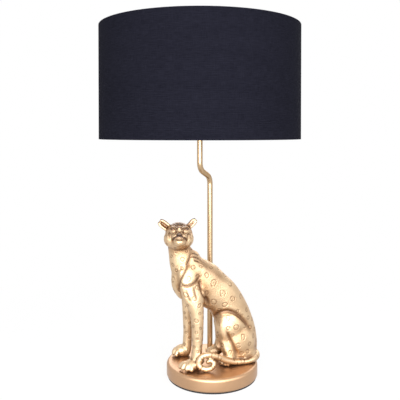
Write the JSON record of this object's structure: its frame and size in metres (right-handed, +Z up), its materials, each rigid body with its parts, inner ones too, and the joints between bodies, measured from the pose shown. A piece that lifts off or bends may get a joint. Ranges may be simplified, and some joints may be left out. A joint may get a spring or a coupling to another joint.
{
  "type": "table lamp",
  "caption": "Table lamp: a seated leopard figure on a round plinth, a jogged stem behind it, a screw lampholder with a push-bar switch, and a fabric drum shade.",
  "frame": {"origin": "on the ground under the axis of the shade and lampholder", "axes": "+Z up the shade axis; +X towards the leopard's back; the leopard's face looks along -Y"},
  "size_m": [0.35, 0.35, 0.61],
  "materials": {
    "plinth_gold": "polished champagne gold lacquer on cast resin",
    "figure_gold": "rubbed champagne gold leaf finish on cast resin, darker in the hollows",
    "stem_gold": "satin gold plated tube",
    "plain_steel": "zinc plated",
    "pad_felt": "black self-adhesive felt",
    "black_plastic": "moulded black thermoplastic",
    "porcelain": "white glazed porcelain",
    "holder_brass": "bright pressed brass",
    "frame_wire": "white powder coated steel wire",
    "lining_sheet": "off-white laminated sheet",
    "shade_cloth": "blue-black slub weave",
    "bulb_clear": "clear blown glass",
    "bulb_nickel": "nickel plated pressed cap",
    "bulb_black": "black vitrite insulator",
    "filament_yellow": "phosphor coated filament rods"
  },
  "bodies": {
    "base": {"plinth": "plinth_gold", "bottom_plate": "plain_steel", "plate_screws": "plain_steel", "base_pad": "pad_felt", "cord_bush": "black_plastic", "leopard": "figure_gold", "leopard_screws": "plain_steel", "stem": "stem_gold", "foot_collar": "stem_gold", "foot_washer": "plain_steel", "foot_nut": "plain_steel", "holder_locknut": "stem_gold", "holder_cap": "stem_gold", "holder_skirt": "black_plastic", "holder_core": "porcelain", "screw_shell": "holder_brass", "centre_contact": "holder_brass", "terminals": "holder_brass", "terminal_screws": "plain_steel", "switch_block": "black_plastic"},
    "switch": {"switch_bar": "stem_gold", "switch_knobs": "black_plastic"},
    "shade": {"shade_carrier": "frame_wire", "top_wire": "frame_wire", "shade_lining": "lining_sheet", "shade_fabric": "shade_cloth", "bottom_hem": "shade_cloth", "top_hem": "shade_cloth"},
    "washer": {"slip_washer": "plain_steel"},
    "ring": {"shade_ring": "black_plastic"},
    "bulb": {"bulb_tip": "bulb_nickel", "bulb_insulator": "bulb_black", "bulb_cap": "bulb_nickel", "bulb_glass": "bulb_clear", "bulb_mount": "bulb_clear", "bulb_filaments": "filament_yellow"}
  },
  "joints": [
    {"name": "shade_lift", "type": "slide", "parent": "base", "child": "shade", "axis": [0, 0, 1], "range_m": [0, 0.25]},
    {"name": "washer_rise", "type": "slide", "parent": "shade", "child": "washer", "axis": [0, 0, 1], "range_m": [0, 0.008]},
    {"name": "ring_turn", "type": "hinge", "parent": "washer", "child": "ring", "pos_m": [0, 0, 0.445], "axis": [0, 0, 1], "range_deg": [0, 1080]},
    {"name": "bulb_out", "type": "slide", "parent": "base", "child": "bulb", "axis": [0, 0, 1], "range_m": [0, 0.03]},
    {"name": "switch_push", "type": "slide", "parent": "base", "child": "switch", "axis": [1, 0, 0], "range_m": [0, 0.006]}
  ],
  "couplings": [
    {"joint": "washer_rise", "follows": "ring_turn", "m_per_rad": 0.00039789}
  ]
}
